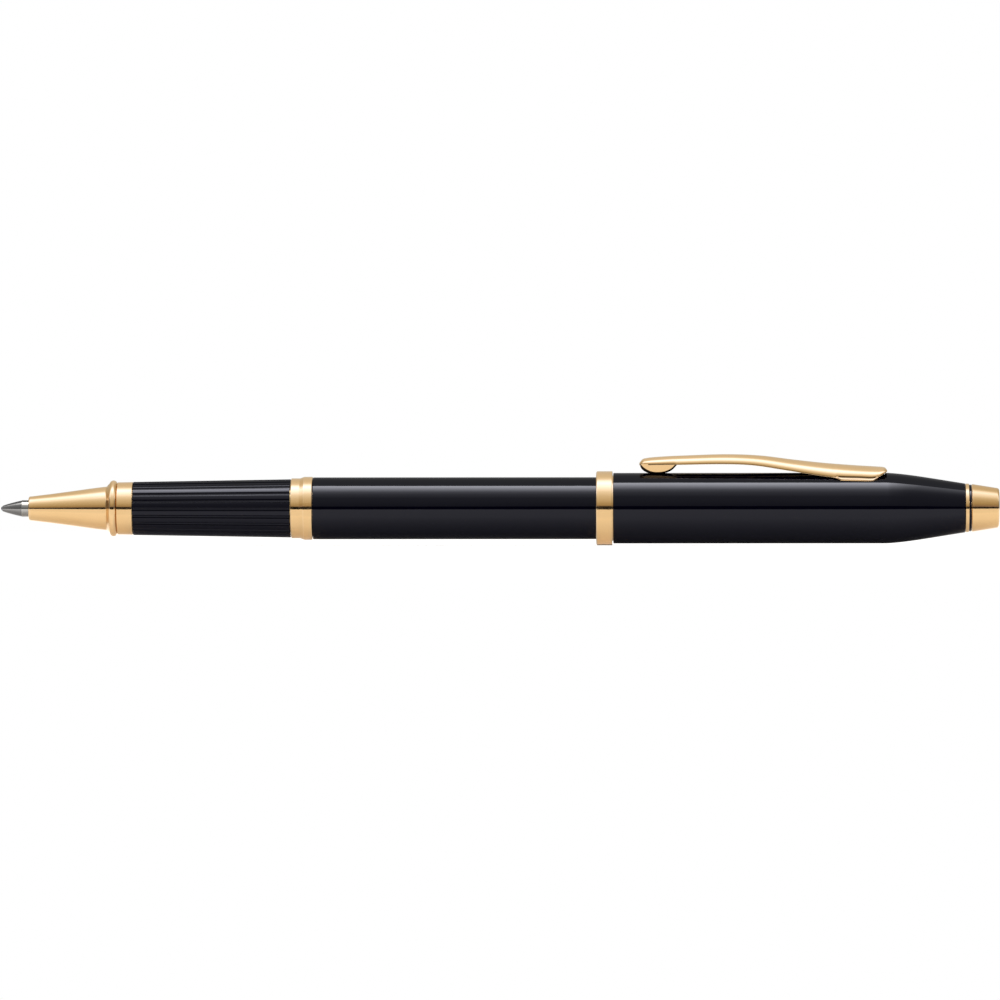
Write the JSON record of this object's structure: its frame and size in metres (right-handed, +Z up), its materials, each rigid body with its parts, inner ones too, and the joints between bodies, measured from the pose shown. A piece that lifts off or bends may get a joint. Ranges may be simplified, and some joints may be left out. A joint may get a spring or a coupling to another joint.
{
  "type": "rollerball pen",
  "caption": "Slim rollerball pen with its cap posted on the barrel: grooved grip, turned nose cone, trim rings, tapered cap end and a folded spring clip.",
  "frame": {"origin": "under the middle of the pen's length, on the surface that it lies on with the clip uppermost", "axes": "+X along the pen from the writing tip to the crown of the posted cap, +Z up through the clip, +Y to the left when looking from the tip to the crown"},
  "size_m": [0.1498, 0.0112, 0.0137],
  "materials": {
    "gold": "polished gold plate on brass",
    "black_lacquer": "deep gloss black lacquer on brass tube",
    "grip_black": "gloss black moulding with fine grooves",
    "black_plastic": "plain black moulding",
    "tube_plastic": "pale translucent moulding",
    "steel": "fine turned steel",
    "bright_steel": "bright plated sleeve",
    "spring_steel": "drawn spring wire",
    "carbide": "ground tungsten carbide",
    "brass": "bare turned brass",
    "bronze": "spring bronze strip",
    "ink": "black gel ink",
    "grease": "clear follower grease"
  },
  "bodies": {
    "barrel": {"barrel_tube": "black_lacquer", "barrel_thread_insert": "brass", "barrel_end_plug": "black_plastic", "refill_spring": "spring_steel"},
    "refill": {"refill_point": "steel", "refill_nose": "bright_steel", "refill_tube": "tube_plastic", "ink_column": "ink", "ink_follower": "grease", "refill_plug": "black_plastic"},
    "ball": {"writing_ball": "carbide"},
    "section": {"nose_cone": "gold", "section_core": "brass", "grip_sleeve": "grip_black", "coupling_ring": "gold"},
    "cap": {"cap_lip_ring": "gold", "cap_shell": "black_lacquer", "posting_clutch": "bronze", "inner_cap": "black_plastic", "clip_retainer": "brass", "cap_end_bush": "brass", "crown_band": "gold", "crown_spacer": "black_lacquer", "crown": "gold"},
    "clip": {"clip": "gold"}
  },
  "joints": [
    {"name": "cap_pull", "type": "slide", "parent": "barrel", "child": "cap", "axis": [1, 0, 0], "range_m": [0, 0.045]},
    {"name": "clip_flex", "type": "hinge", "parent": "cap", "child": "clip", "pos_m": [0.057, 0, 0.01015], "axis": [0, 1, 0], "range_deg": [0, 3.5], "stiffness_Nm_per_rad": 3},
    {"name": "section_advance", "type": "slide", "parent": "barrel", "child": "refill", "axis": [-1, 0, 0], "range_m": [0, 0.0034], "deforming": ["refill_spring"]},
    {"name": "section_turn", "type": "hinge", "parent": "refill", "child": "section", "pos_m": [0, 0, 0.00555], "axis": [-1, 0, 0], "range_deg": [0, 1530]},
    {"name": "ball_roll", "type": "hinge", "parent": "refill", "child": "ball", "pos_m": [-0.07455, 0, 0.00555], "axis": [0, 1, 0], "continuous": true}
  ],
  "couplings": [
    {"joint": "section_turn", "follows": "section_advance", "rad_per_m": 7854}
  ]
}
